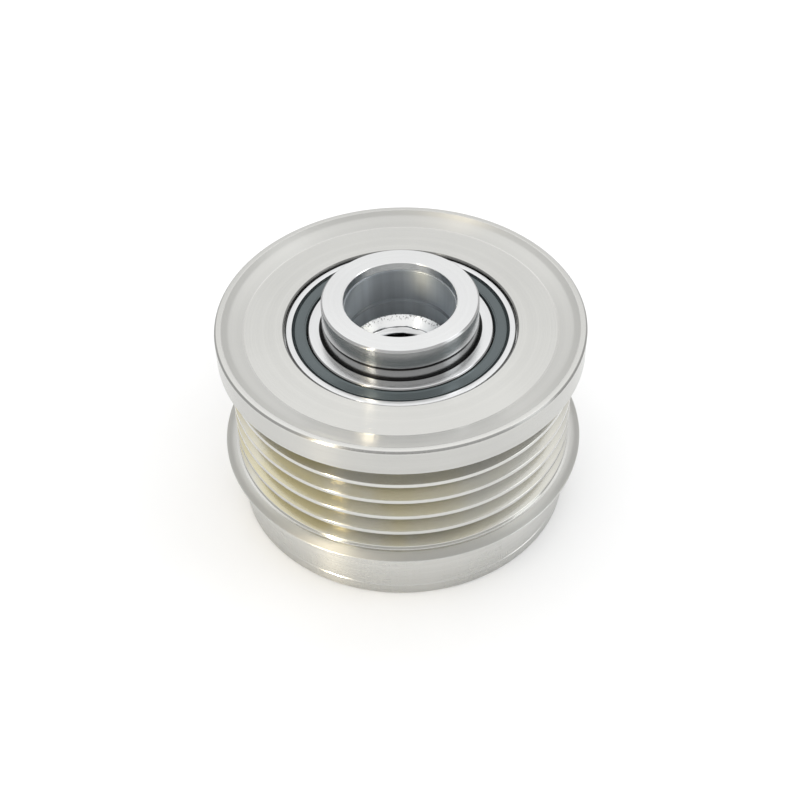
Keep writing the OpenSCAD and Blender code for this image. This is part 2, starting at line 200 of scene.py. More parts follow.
class Nodes:
    """Short calls for building a material's node tree."""

    def __init__(self, name):
        self.material = bpy.data.materials.new(name)
        self.material.use_nodes = True
        self.tree = self.material.node_tree
        self.shader = self.tree.nodes["Principled BSDF"]
        self.place = None

    def put(self, socket, value):
        if isinstance(value, bpy.types.NodeSocket):
            self.tree.links.new(value, socket)
        else:
            socket.default_value = value

    def set(self, name, value):
        """Sets or links one of the shader's inputs."""
        self.put(self.shader.inputs[name], value)

    def add(self, kind, inputs=None, output=0, **settings):
        node = self.tree.nodes.new(kind)
        for key, value in settings.items():
            setattr(node, key, value)
        for key, value in (inputs or {}).items():
            self.put(node.inputs[key], value)
        return node.outputs[output]

    def math(self, operation, a, b=0.0):
        return self.add("ShaderNodeMath", {0: a, 1: b}, operation=operation)

    def where(self):
        """(object position, distance from the axis, height, angle about the axis)."""
        if self.place is None:
            position = self.add("ShaderNodeTexCoord", output="Object")
            parts = self.tree.nodes.new("ShaderNodeSeparateXYZ")
            self.put(parts.inputs[0], position)
            x, y, z = parts.outputs
            flat = self.add("ShaderNodeCombineXYZ", {0: x, 1: y})
            reach = self.add("ShaderNodeVectorMath", {0: flat}, output="Value", operation="LENGTH")
            self.place = position, reach, z, self.math("ARCTAN2", y, x)
        return self.place

    def around(self):
        """A vector that depends only on the angle about the axis, for noise that runs in rays."""
        angle = self.where()[3]
        x, y = self.math("COSINE", angle), self.math("SINE", angle)
        return self.add("ShaderNodeCombineXYZ", {0: x, 1: y})

    def noise(self, vector, scale, detail=2.0, roughness=0.5):
        """A noise texture. scale is in cycles per metre, or per unit on the vector from around()."""
        return self.add("ShaderNodeTexNoise", {"Vector": vector, "Scale": scale, "Detail": detail,
                                               "Roughness": roughness})

    def spread(self, value, low, high, to_low, to_high):
        """value from low..high mapped onto to_low..to_high, clamped."""
        return self.add("ShaderNodeMapRange", {0: value, 1: low, 2: high, 3: to_low, 4: to_high})

    def vary(self, noise, to_low, to_high, low=0.3, high=0.7):
        """A noise's usual range mapped onto to_low..to_high, clamped."""
        return self.spread(noise, low, high, to_low, to_high)

    def band(self, value, low, high, soft):
        """1 where value lies between low and high, in mm, falling to 0 over soft mm on both sides."""
        rise = self.spread(value, (low - soft) * MM, low * MM, 0.0, 1.0)
        return self.math("MULTIPLY", rise, self.spread(value, high * MM, (high + soft) * MM, 1.0, 0.0))

    def zone(self, radii, heights, soft_r, soft_z):
        """1 in a ring between two radii and two heights, in mm, falling to 0 over soft_r and soft_z."""
        position, reach, height, angle = self.where()
        return self.math("MULTIPLY", self.band(height, *heights, soft_z), self.band(reach, *radii, soft_r))

    def blend(self, share, a, b, mode="MIX"):
        node = self.tree.nodes.new("ShaderNodeMix")
        node.data_type = "RGBA"
        node.blend_type = mode
        self.put(node.inputs[0], share)
        self.put(node.inputs[6], a)
        self.put(node.inputs[7], b)
        return node.outputs[2]

    def bump(self, height, depth):
        """A bump that is depth mm high."""
        return self.add("ShaderNodeBump", {"Height": height, "Distance": depth * MM, "Strength": 1.0})


def rgb(r, g, b):
    return (r, g, b, 1.0)


def tint(n, share, colour, mode="MULTIPLY"):
    """Blends a colour into a material's colour, as far as share says."""
    base = n.shader.inputs["Base Color"].links[0].from_socket
    n.set("Base Color", n.blend(share, base, colour, mode))


def darken(n, share, factor):
    """Multiplies a material's colour by factor, as far as share says."""
    tint(n, share, rgb(factor, factor, factor))


def roughen(n, share, factor):
    """Multiplies a material's roughness by factor, as far as share says."""
    base = n.shader.inputs["Roughness"].links[0].from_socket
    n.set("Roughness", n.math("MULTIPLY", base, n.spread(share, 0.0, 1.0, 1.0, factor)))


def paint_shade(n, radii, heights, factor, soft_r=0.03, soft_z=0.05):
    """Darkens a ring between two radii and two heights with painted shade, such as in a crevice, a gap or
    on an edge.
    """
    darken(n, n.zone(radii, heights, soft_r, soft_z), factor)


def turned_metal(name, colour, rough, marks=0.16, depth=0.001, grain=0.3, anisotropy=0.9, stains=0.03):
    """Steel turned or ground on a lathe: rings of tool marks, faint stains and a gloss across the marks.

    marks is the spacing of the tool marks and depth their height, in mm.
    """
    n = Nodes(name)
    position, reach, height, angle = n.where()
    rings = n.add("ShaderNodeCombineXYZ", {0: reach, 1: height})
    fine = n.noise(rings, 1 / (marks * MM), 3.0, 0.65)
    broad = n.noise(rings, 1 / (7 * marks * MM), 2.0, 0.5)
    cloud = n.noise(position, 70.0, 3.0, 0.5)
    ray = n.noise(n.around(), 90.0, 3.0, 0.7)
    shade = n.vary(cloud, 1 - stains, 1 + stains * 0.5)
    for noise, darker, lighter in ((broad, 0.1, 0.06), (fine, 0.12, 0.08), (ray, 0.04, 0.03)):
        shade = n.math("MULTIPLY", shade, n.vary(noise, 1 - grain * darker, 1 + grain * lighter))
    grey = n.add("ShaderNodeCombineColor", {0: shade, 1: shade, 2: shade})
    n.set("Base Color", n.blend(1.0, rgb(*colour), grey, "MULTIPLY"))
    smear = n.math("MULTIPLY", n.vary(cloud, 0.96, 1.06), n.vary(ray, 0.97, 1.03, 0.35, 0.65))
    n.set("Roughness", n.math("MULTIPLY", n.vary(fine, rough * 0.93, rough * 1.08), smear))
    n.set("Normal", n.bump(fine, depth))
    n.set("Metallic", 1.0)
    n.set("Anisotropic", anisotropy)
    n.set("Anisotropic Rotation", 0.25)
    n.set("Tangent", n.add("ShaderNodeTangent", direction_type="RADIAL", axis="Z"))
    return n


def rubber(name, colour, rough=0.22):
    """Moulded nitrile rubber: fine grain, dusty bloom and a soft gloss, dull on the seal's edges."""
    n = Nodes(name)
    position, reach, height, angle = n.where()
    grain = n.noise(position, 5200.0, 3.0, 0.6)
    bloom = n.noise(position, 260.0, 4.0, 0.65)
    dusty = tuple(c * 2 for c in colour)
    n.set("Base Color", n.blend(n.vary(bloom, 0.0, 0.6, 0.4, 0.75), rgb(*colour), rgb(*dusty)))
    gloss = n.vary(bloom, rough * 0.85, rough * 1.2)
    edges = n.spread(n.band(reach, SEAL_HOLE_R + 0.1, SEAL_GROOVE_R - 0.06, 0.03), 0.0, 1.0, 1.0, 0.0)
    n.set("Roughness", n.math("MAXIMUM", gloss, edges))
    n.set("Normal", n.bump(grain, 0.002))
    n.set("IOR", 2.15)
    n.set("Specular Tint", rgb(0.84, 0.97, 1.0))
    return n


def plastic(name, colour, rough=0.45):
    """Glass-filled nylon: flow marks, mottling and a fine bump."""
    n = Nodes(name)
    position, reach, height, angle = n.where()
    mottle = n.noise(position, 420.0, 5.0, 0.6)
    grain = n.noise(position, 6000.0, 2.0, 0.5)
    darker = tuple(c * 0.72 for c in colour)
    n.set("Base Color", n.blend(n.vary(mottle, 0.0, 1.0, 0.35, 0.65), rgb(*darker), rgb(*colour)))
    n.set("Roughness", n.vary(grain, rough * 0.8, rough * 1.25))
    n.set("Normal", n.bump(grain, 0.003))
    n.set("Subsurface Weight", 0.05)
    n.set("Subsurface Radius", (0.0004, 0.0003, 0.0002))
    return n


def rolled_metal(name, colour, rough, stains=0.12):
    """Pressed, ground or blued small steel parts, which the closed pulley hides or shows underneath."""
    n = Nodes(name)
    position, reach, height, angle = n.where()
    cloud = n.noise(position, 300.0, 4.0, 0.6)
    grain = n.noise(position, 9000.0, 2.0, 0.5)
    darker = tuple(c * (1 - stains) for c in colour)
    n.set("Base Color", n.blend(n.vary(cloud, 0.0, 1.0, 0.35, 0.65), rgb(*darker), rgb(*colour)))
    n.set("Roughness", n.vary(grain, rough * 0.8, rough * 1.3))
    n.set("Normal", n.bump(grain, 0.0015))
    n.set("Metallic", 1.0)
    return n


# ---------------------------------------------------------------- the rim

RIM_STEEL = (0.64, 0.638, 0.615)
CREST_R = 27.8
CREST_W = 0.66
GROOVE_PITCH = 3.56
GROOVE_COUNT = 5
GROOVE_ROOT_W = 0.5
GROOVE_HALF_ANGLE = math.radians(20)
BELT_MID_Z = 20.5
# the rear end: a flat round the bearing, a slope that rises from it and a land at the edge
FLAT_DROP = 1.1
FLAT_R = 24.9
SLOPE_R = 28.5
REAR_FLANGE_R = 29.5
REAR_FLANGE_H = 4.5
EDGE_BREAK = 0.3
# half width and depth of the open seam between the rim and the bearing's outer ring
SEAM = 0.09
SEAM_DEPTH = 1.0
# the front flange's edge, the plain front end under it and the fine line turned round that end
FRONT_FLANGE_Z = 10.8
FRONT_NECK_Z = 9.1
FRONT_END_R = 27.75
FRONT_LINE_Z = 2.35
FRONT_LINE_HALF = 0.15
# the recess for a dust cap, and the groove that the cap snaps into
CAP_RECESS_R = 22.4
CAP_RECESS_DEPTH = 2.8
CAP_GROOVE_R = 23.0
CAP_GROOVE_LOW = 1.0
CAP_GROOVE_HIGH = 1.8
SMALL_BREAK = 0.25
# the groove of the pulley's retaining ring
SNAP_GROOVE_R = 19.4
SNAP_GROOVE_H = 1.3


def groove_points():
    """(r, z) points down the belt grooves, from the rear flange's side to the front flange's."""
    half_top = (GROOVE_PITCH - CREST_W) / 2
    root_r = CREST_R - (half_top - GROOVE_ROOT_W / 2) / math.tan(GROOVE_HALF_ANGLE)
    points = []
    for i in range(GROOVE_COUNT):
        z = BELT_MID_Z + ((GROOVE_COUNT - 1) / 2 - i) * GROOVE_PITCH
        points += [(CREST_R, z + half_top, 0.12), (root_r, z + GROOVE_ROOT_W / 2, 0.2),
                   (root_r, z - GROOVE_ROOT_W / 2, 0.2), (CREST_R, z - half_top, 0.12)]
    return points


def rim_outline():
    """The rim's section, from the rear edge of the bearing bore, out, down and back up the bore."""
    top = high_z("pulley")
    flat = top - FLAT_DROP
    bore = radius_of("rear_outer_ring")
    flange_r = radius_of("pulley")
    seat = low_z("front_outer_ring")
    rear_end = [(bore, flat - SEAM_DEPTH), (bore + SEAM, flat - SEAM_DEPTH),
                (bore + SEAM, flat - 0.22, 0.03), (bore + SMALL_BREAK, flat, 0.05),
                (FLAT_R, flat, 0.3), (SLOPE_R, top, 0.12),
                (REAR_FLANGE_R - EDGE_BREAK, top, 0.06), (REAR_FLANGE_R, top - EDGE_BREAK, 0.12),
                (REAR_FLANGE_R, top - REAR_FLANGE_H, 0.12)]
    grooves = groove_points()
    last_crest_z = grooves[-1][1] - CREST_W
    front_flange = [(CREST_R, last_crest_z, 0.08), (CREST_R + 0.5, last_crest_z - 0.1, 0.05),
                    (flange_r - 0.1, FRONT_FLANGE_Z + 0.1, 0.05), (flange_r, FRONT_FLANGE_Z, 0.03),
                    (flange_r, FRONT_FLANGE_Z - 0.23, 0.05)]
    front_end = [(FRONT_END_R, FRONT_NECK_Z, 0.2), (FRONT_END_R, FRONT_LINE_Z + FRONT_LINE_HALF, 0.03),
                 (FRONT_END_R - FRONT_LINE_HALF, FRONT_LINE_Z, 0.03),
                 (FRONT_END_R, FRONT_LINE_Z - FRONT_LINE_HALF, 0.03),
                 (FRONT_END_R - 0.15, SMALL_BREAK, 0.1), (FRONT_END_R - 0.4, 0.0, 0.08)]
    recess = [(CAP_RECESS_R + SMALL_BREAK, 0.0, 0.05), (CAP_RECESS_R, SMALL_BREAK, 0.05),
              (CAP_RECESS_R, CAP_GROOVE_LOW, 0.04), (CAP_GROOVE_R, CAP_GROOVE_LOW, 0.1),
              (CAP_GROOVE_R, CAP_GROOVE_HIGH, 0.1), (CAP_RECESS_R, CAP_GROOVE_HIGH, 0.04),
              (CAP_RECESS_R, CAP_RECESS_DEPTH, 0.15), (bore, CAP_RECESS_DEPTH, 0.12)]
    ring_groove = [(bore, seat - SNAP_GROOVE_H, 0.02), (SNAP_GROOVE_R, seat - SNAP_GROOVE_H, 0.08),
                   (SNAP_GROOVE_R, seat, 0.08), (bore, seat, 0.02)]
    return rear_end + grooves + front_flange + front_end + recess + ring_groove


def groove_film_and_shade(n, inner, outer, low, high):
    """An amber oil film in patches in the belt grooves, and a painted warm reflection heavier where x is
    low.

    The grooves' bottoms are darker with painted shade, and the grooves and the side of the rear flange
    shine more.
    """
    position, reach, height, angle = n.where()
    grooves = n.band(height, low + 0.3, high - 0.3, 0.3)
    # painted shade, deeper towards the grooves' bottoms
    groove_shade = n.math("MULTIPLY", n.spread(reach, inner * MM, outer * MM, 1.0, 0.0), grooves)
    tint(n, groove_shade, rgb(0.72, 0.72, 0.72))
    # the amber: a painted warm reflection heavier where x is low, in patches of oil film
    painted_warm_side = n.spread(n.math("MULTIPLY", reach, n.math("COSINE", angle)), -24 * MM, 18 * MM, 1.0, 0.2)
    film_and_warm_reflection = n.math("MULTIPLY", painted_warm_side, n.vary(n.noise(position, 75.0, 3.0, 0.6), 0.25, 1.0, 0.40, 0.60))
    inside = n.math("MULTIPLY", grooves, n.band(reach, 20.0, CREST_R - 0.1, 0.1))
    tint(n, n.math("MULTIPLY", inside, film_and_warm_reflection), rgb(1.0, 0.93, 0.68))
    roughen(n, n.band(height, low, high, 0.2), 0.52)
    roughen(n, n.band(height, high + 0.5, high_z("pulley") - 0.4, 0.1), 0.68)


def rim_shades(n):
    """Painted shade and warm reflection, an oil film and differences in finish on the rim's turned
    surfaces.
    """
    top = high_z("pulley")
    flat = top - FLAT_DROP
    flange_low = top - REAR_FLANGE_H
    bore = radius_of("rear_outer_ring")
    groove_film_and_shade(n, 24.5, CREST_R - 0.05, FRONT_FLANGE_Z + 0.4, flange_low - 0.8)
    # painted shade in the seam round the bearing
    paint_shade(n, (bore - 0.1, bore + 0.3), (flat - 3.8, flat + 0.05), 0.4)
    # duller slope and front flange, brighter land
    roughen(n, n.zone((FLAT_R + 0.1, SLOPE_R - 0.1), (flat + 0.06, top - 0.04), 0.1, 0.03), 1.9)
    roughen(n, n.zone((SLOPE_R, REAR_FLANGE_R - 0.2), (top - 0.02, top + 0.1), 0.1, 0.02), 0.5)
    roughen(n, n.zone((CREST_R + 0.4, 30.5), (FRONT_FLANGE_Z + 0.05, FRONT_FLANGE_Z + 0.4), 0.1, 0.05), 2.0)
    # painted shade under the rear flange, on its side, low on the plain front end and on the land's chamfer
    paint_shade(n, (0.0, CREST_R + 0.6), (flange_low - 1.8, flange_low - 0.05), 0.55, 0.3, 0.25)
    paint_shade(n, (REAR_FLANGE_R - 0.2, REAR_FLANGE_R + 0.1), (flange_low, top - EDGE_BREAK), 0.88, 0.1, 0.1)
    position, reach, height, angle = n.where()
    shade_toward_bottom = n.spread(height, 0.5 * MM, 7.0 * MM, 1.0, 0.0)
    darken(n, n.math("MULTIPLY", shade_toward_bottom, n.band(reach, FRONT_END_R - 0.45, FRONT_END_R + 0.25, 0.1)), 0.8)
    paint_shade(n, (REAR_FLANGE_R - EDGE_BREAK, REAR_FLANGE_R + 0.1), (top - 0.28, top - 0.04), 0.5, 0.03, 0.03)


# ---------------------------------------------------------------- the hub

HUB_R = 12.5
# the collar at the rear end, and the groove turned under it
COLLAR_R = 12.45
COLLAR_CHAMFER = 0.3
COLLAR_GROOVE_R = 12.05
COLLAR_GROOVE_LOW = 35.12
COLLAR_GROOVE_HIGH = 35.48
# the bore from its mouth down: clearance length, a taper into the bore proper, and the countersink
MOUTH_R = 8.95
MOUTH_DEPTH = 1.7
CLEARANCE_R = 8.8
LEAD_R = 8.6
LEAD_TOP_Z = 31.6
LEAD_END_Z = 31.1
BORE_END_R = 8.5
BORE_END_Z = 28.4
THREAD_PITCH = 1.5
THREAD_CORE_R = 6.3
THREAD_ROOT_R = 7.15
THREAD_LOW_Z = 12.19
THREAD_HIGH_Z = 27.65
# height of the middle of the thread's first groove at a quarter turn
THREAD_START_Z = 26.8
# half width of the thread's crest and width of its flank, as shares of half a pitch
THREAD_CREST_SHARE = 0.25
THREAD_FLANK_SHARE = 0.625
SOCKET_TEETH = 33
SOCKET_TIP_R = 8.15
SOCKET_ROOT_R = 8.7
SOCKET_MOUTH_R = 9.1
SOCKET_MOUTH_H = 0.95
SOCKET_DEPTH = 10.0
SOCKET_END_R = 7.2
# half width of a tooth's tip, width of its flank and places of the mesh columns, as shares of its step
TOOTH_TIP_SHARE = 0.1
TOOTH_FLANK_SHARE = 0.28
TOOTH_PHASES = (-0.1, 0.0, 0.1, 0.24, 0.38, 0.5, 0.62, 0.76)
# the groove of the hub's retaining ring
HUB_GROOVE_R = 11.9
HUB_GROOVE_H = 1.1


def socket_radius(angle, z):
    """Radius of the toothed tool socket at an angle."""
    phase = (angle / TURN * SOCKET_TEETH + 0.5) % 1 - 0.5
    share = min(max((abs(phase) - TOOTH_TIP_SHARE) / TOOTH_FLANK_SHARE, 0), 1)
    return SOCKET_TIP_R + (SOCKET_ROOT_R - SOCKET_TIP_R) * share


def socket_mouth_radius(angle, z):
    """The socket where its teeth are cut back by the mouth's cone."""
    return max(socket_radius(angle, z), SOCKET_MOUTH_R - (z - low_z("hub")))


def thread_radius(angle, z):
    """Radius of the right-hand thread, with the cones that lead into it from both ends."""
    phase = abs(((z - THREAD_START_Z) / THREAD_PITCH - angle / TURN + 0.25) % 1 - 0.5) * 2
    share = min(max((phase - THREAD_CREST_SHARE) / THREAD_FLANK_SHARE, 0), 1)
    cut = THREAD_CORE_R + (THREAD_ROOT_R - THREAD_CORE_R) * share
    rear_cone = BORE_END_R - (BORE_END_Z - z)
    front_cone = SOCKET_END_R - (z - THREAD_LOW_Z)
    return max(cut, rear_cone, front_cone)


def steps_between(low, high, pitch):
    count = max(1, round((high - low) / pitch))
    return [low + (high - low) * i / count for i in range(count + 1)]


def hub_rows():
    """Rows up the outside of the hub, over its rear face and down through its bore, thread and socket."""
    top, bottom = high_z("hub"), low_z("hub")
    seat = low_z("front_inner_ring")
    outside = [(HUB_R - 0.3, bottom, 0.05), (HUB_R, bottom + 0.3, 0.05),
               (HUB_R, seat - HUB_GROOVE_H, 0.02), (HUB_GROOVE_R, seat - HUB_GROOVE_H, 0.05),
               (HUB_GROOVE_R, seat, 0.05), (HUB_R, seat, 0.02),
               (HUB_R, COLLAR_GROOVE_LOW - 0.07, 0.04), (COLLAR_GROOVE_R, COLLAR_GROOVE_LOW, 0.05),
               (COLLAR_GROOVE_R, COLLAR_GROOVE_HIGH, 0.05), (COLLAR_R, COLLAR_GROOVE_HIGH + 0.08, 0.04),
               (COLLAR_R, top - COLLAR_CHAMFER, 0.08), (COLLAR_R - COLLAR_CHAMFER, top, 0.08)]
    bore = [(MOUTH_R + 0.15, top, 0.06), (MOUTH_R, top - 0.15, 0.05), (MOUTH_R, top - MOUTH_DEPTH, 0.03),
            (CLEARANCE_R, top - MOUTH_DEPTH - 0.02, 0.03), (CLEARANCE_R, LEAD_TOP_Z, 0.05),
            (LEAD_R, LEAD_END_Z, 0.05), (BORE_END_R, BORE_END_Z, 0.1)]
    # the points before and after only tell rounded() how the corners beside them run
    before = (SOCKET_MOUTH_R + 0.05, bottom)
    after = (BORE_END_R - 0.75, BORE_END_Z - 0.75)
    wall = rounded([before] + outside + bore + [after])[1:-1]
    thread = [(thread_radius, z) for z in steps_between(THREAD_LOW_Z, THREAD_HIGH_Z, THREAD_PITCH / 16)]
    socket_end = bottom + SOCKET_DEPTH
    socket = [(SOCKET_END_R, socket_end), (socket_radius, socket_end)]
    mouth = [(socket_mouth_radius, z) for z in steps_between(bottom, bottom + SOCKET_MOUTH_H, 0.1)]
    return wall + thread[::-1] + socket + mouth[::-1]


def hub_columns():
    """Angles of the mesh columns, which follow the socket's teeth."""
    step = TURN / SOCKET_TEETH
    return [step * (tooth + phase) for tooth in range(SOCKET_TEETH) for phase in TOOTH_PHASES]


def hub_shades(n):
    """Painted shade and oil in the thread, painted shade and light on the hub, and a duller finish inside
    the bore.
    """
    top = high_z("hub")
    face = high_z("rear_outer_ring")
    position, reach, height, angle = n.where()
    side = (COLLAR_R - 0.35, COLLAR_R + 0.15)
    # painted shade and oil on the thread deep in the bore
    paint_shade(n, (0.0, THREAD_ROOT_R + 0.15), (THREAD_LOW_Z + 0.41, THREAD_START_Z - 0.9), 0.12, 0.3, 0.4)
    # the countersink, rougher and painted brighter, with specks of dirt at its upper edge
    cone = n.zone((0.0, BORE_END_R + 0.1), (BORE_END_Z - 1.4, BORE_END_Z - 0.05), 0.1, 0.1)
    roughen(n, cone, 1.7)
    tint(n, n.math("MULTIPLY", cone, 0.8), rgb(0.98, 0.98, 0.97), "MIX")
    speck = n.vary(n.noise(position, 3200.0, 2.0, 0.6), 0.0, 1.0, 0.56, 0.62)
    darken(n, n.math("MULTIPLY", n.band(height, BORE_END_Z - 0.3, BORE_END_Z, 0.5), speck), 0.3)
    # painted shade in the collar's groove, the gap to the bearing's inner ring, the taper and the ledge in
    # the bore
    groove = (COLLAR_GROOVE_R - 0.15, COLLAR_GROOVE_R + 0.27)
    paint_shade(n, groove, (COLLAR_GROOVE_LOW, COLLAR_GROOVE_HIGH + 0.02), 0.2, 0.06, 0.05)
    paint_shade(n, (HUB_R - 0.2, HUB_R + 0.1), (face - 0.8, face + 0.1), 0.3, 0.1, 0.12)
    paint_shade(n, (LEAD_R - 0.2, CLEARANCE_R + 0.1), (LEAD_END_Z, LEAD_TOP_Z), 0.5, 0.1, 0.03)
    paint_shade(n, (MOUTH_R - 0.25, MOUTH_R + 0.05), (top - 1.76, top - MOUTH_DEPTH), 0.6, 0.1, 0.03)
    # painted shade on the side of the hub under the collar, the collar's side and its chamfer
    paint_shade(n, side, (face + 0.1, COLLAR_GROOVE_LOW - 0.02), 0.4, 0.05, 0.05)
    paint_shade(n, side, (COLLAR_GROOVE_HIGH + 0.02, top - 0.4), 0.82, 0.05, 0.05)
    paint_shade(n, side, (top - 0.28, top - 0.05), 0.5, 0.05, 0.03)
    # painted shade inside the bore, tinted cool and broken by painted reflection streaks; the bore is also
    # rougher
    bore = n.zone((8.0, MOUTH_R + 0.03), (BORE_END_Z + 0.1, top - 1.6), 0.02, 0.2)
    roughen(n, bore, 2.3)
    reflection_streak = n.vary(n.noise(n.around(), 4.0, 2.0, 0.5), 0.0, 1.0, 0.4, 0.62)
    darken(n, n.math("MULTIPLY", bore, reflection_streak), 0.85)
    tint(n, bore, rgb(0.78, 0.83, 0.88))


# ---------------------------------------------------------------- the bearings

BALL_CIRCLE_R = 15.5
# radius of the ball tracks, and how far their middle is from the ball circle, inwards and outwards
TRACK_R = 1.651
TRACK_SHIFT = 0.0515
TRACK_STEPS = 16
OUTER_SHOULDER_R = 16.5
INNER_RING_R = 14.8
INNER_BREAK = 0.22
RING_CHAMFER_W = 0.3
RING_CHAMFER_H = 0.23
BORE_CHAMFER = 0.5
SEAL_R = 17.35
SEAL_LEDGE = 0.9
SEAL_HOLE_R = 15.05
SEAL_LIP_R = 14.9
SEAL_LIP_DEPTH = 1.15
SEAL_RECESS = 0.2
SEAL_BACK = 0.65
# the open groove between the seal's flat part and the outer ring
SEAL_GROOVE_R = 16.9
SEAL_GROOVE_DEPTH = 0.58
# the seal's seat for its steel insert
INSERT_IN_R = 15.75
INSERT_OUT_R = 17.2


def track(centre_r, middle, side, half_angle):
    """A ball track's arc, from its lower to its upper end. side is 1 on the outer ring, -1 on the inner."""
    angles = [math.radians(half_angle * (2 * i / TRACK_STEPS - 1)) for i in range(TRACK_STEPS + 1)]
    return [(centre_r + side * TRACK_R * math.cos(a), middle + TRACK_R * math.sin(a)) for a in angles]


def outer_ring_outline(low, high, outer):
    arc_points = track(BALL_CIRCLE_R - TRACK_SHIFT, (low + high) / 2, 1, 50)
    lower = [(OUTER_SHOULDER_R, low + SEAL_LEDGE), (SEAL_R, low + SEAL_LEDGE), (SEAL_R, low, 0.06),
             (outer - RING_CHAMFER_W, low, 0.06), (outer - SEAM, low + RING_CHAMFER_H, 0.03),
             (outer - SEAM, low + SEAM_DEPTH), (outer, low + SEAM_DEPTH)]
    upper = [(r, low + high - z, *rounding) for r, z, *rounding in lower[::-1]]
    return lower + upper + arc_points[::-1]


def inner_ring_outline(low, high, bore):
    middle = (low + high) / 2
    track_edge = 1.43
    lower = [(bore, low + BORE_CHAMFER, 0.1), (bore + BORE_CHAMFER, low, 0.1),
             (INNER_RING_R - INNER_BREAK, low, 0.04), (INNER_RING_R, low + INNER_BREAK, 0.04),
             (INNER_RING_R, middle - track_edge)]
    upper = [(r, low + high - z, *rounding) for r, z, *rounding in lower[::-1]]
    return lower + track(BALL_CIRCLE_R + TRACK_SHIFT, middle, -1, 60) + upper


def seal_outline(face, side):
    """A seal whose outer face looks along side (+1 up, -1 down) from a bearing face."""
    flat, back, ledge = SEAL_RECESS, SEAL_BACK, SEAL_LEDGE
    section = [(SEAL_R, SEAL_GROOVE_DEPTH), (SEAL_R, ledge, 0.03), (INSERT_OUT_R, ledge, 0.03),
               (INSERT_OUT_R, back, 0.03), (INSERT_IN_R, back, 0.03), (INSERT_IN_R, ledge, 0.03),
               (SEAL_LIP_R + 0.3, SEAL_LIP_DEPTH, 0.05), (SEAL_LIP_R, SEAL_LIP_DEPTH, 0.05),
               (SEAL_HOLE_R, back, 0.05), (SEAL_HOLE_R, flat - 0.05, 0.05),
               (SEAL_HOLE_R + 0.2, flat - 0.08, 0.05), (SEAL_HOLE_R + 0.35, flat + 0.04, 0.06),
               (SEAL_GROOVE_R - 0.25, flat + 0.04, 0.06), (SEAL_GROOVE_R - 0.18, flat, 0.04),
               (SEAL_GROOVE_R - 0.04, flat, 0.04), (SEAL_GROOVE_R, SEAL_GROOVE_DEPTH)]
    return [(r, face - side * depth, *rounding) for r, depth, *rounding in section]


# ---------------------------------------------------------------- the retaining rings

SNAP_EDGE = 0.08
PULLEY_SNAP_OUT_R = 19.3
PULLEY_SNAP_IN_R = 16.9
# degrees from the middle of the gap to the ring's end, and to the middle of an ear
PULLEY_SNAP_GAP = 11.0
EAR_ANGLE = 14.0
EAR_CIRCLE_R = 17.1
EAR_R = 1.7
EAR_HOLE_R = 0.9
HUB_SNAP_OUT_R = 13.8
HUB_SNAP_GAP = math.degrees(1.2 / 12.8)


def arc(radius, start, end, steps):
    """(x, y) points of an arc; start and end in degrees. radius may be a function of the angle."""
    points = []
    for i in range(steps + 1):
        a = math.radians(start + (end - start) * i / steps)
        r = radius(a) if callable(radius) else radius
        points.append((r * math.cos(a), r * math.sin(a)))
    return points


def eared_inside(a):
    """Inside radius of the pulley's retaining ring, which swells into an ear at each end."""
    a = (a + math.pi) % TURN - math.pi
    away = abs(a) - math.radians(EAR_ANGLE)
    across = EAR_CIRCLE_R * math.sin(away)
    if abs(across) >= EAR_R:
        return PULLEY_SNAP_IN_R
    return min(PULLEY_SNAP_IN_R, EAR_CIRCLE_R * math.cos(away) - math.sqrt(EAR_R ** 2 - across ** 2))


def ear_hole(side, points=32):
    """The round hole for circlip pliers in the ear on one side (-1 or 1) of the gap."""
    a = math.radians(side * EAR_ANGLE)
    turns = [TURN * i / points for i in range(points)]
    return [(EAR_CIRCLE_R * math.cos(a) + EAR_HOLE_R * math.cos(t),
             EAR_CIRCLE_R * math.sin(a) + EAR_HOLE_R * math.sin(t)) for t in turns]


def pulley_ring_outlines():
    outside = arc(PULLEY_SNAP_OUT_R, PULLEY_SNAP_GAP, 360 - PULLEY_SNAP_GAP, 180)
    inside = arc(eared_inside, 360 - PULLEY_SNAP_GAP, PULLEY_SNAP_GAP, 360)
    return [outside + inside, ear_hole(-1), ear_hole(1)]


def hub_ring_outlines():
    outside = arc(HUB_SNAP_OUT_R, HUB_SNAP_GAP, 360 - HUB_SNAP_GAP, 180)
    inside = arc(HUB_GROOVE_R, 360 - HUB_SNAP_GAP, HUB_SNAP_GAP, 180)
    return [outside + inside]


# ---------------------------------------------------------------- making the pieces

def put(piece, body, node):
    """Puts a piece on the body that carries it and hides the CAD node that it replaces."""
    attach(piece, body)
    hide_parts(node)


def make_rim():
    n = turned_metal("rim_turned_steel", RIM_STEEL, 0.28)
    rim_shades(n)
    piece = lathe("rim_turned", rounded(rim_outline()), n.material, 360)
    put(piece, "outer", "pulley")


def make_hub():
    n = turned_metal("hub_ground_steel", (0.76, 0.765, 0.765), 0.19, marks=0.09, depth=0.0004, grain=0.15,
                     anisotropy=0.7)
    hub_shades(n)
    piece = lathe("hub_turned", hub_rows(), n.material, hub_columns())
    put(piece, "inner", "hub")


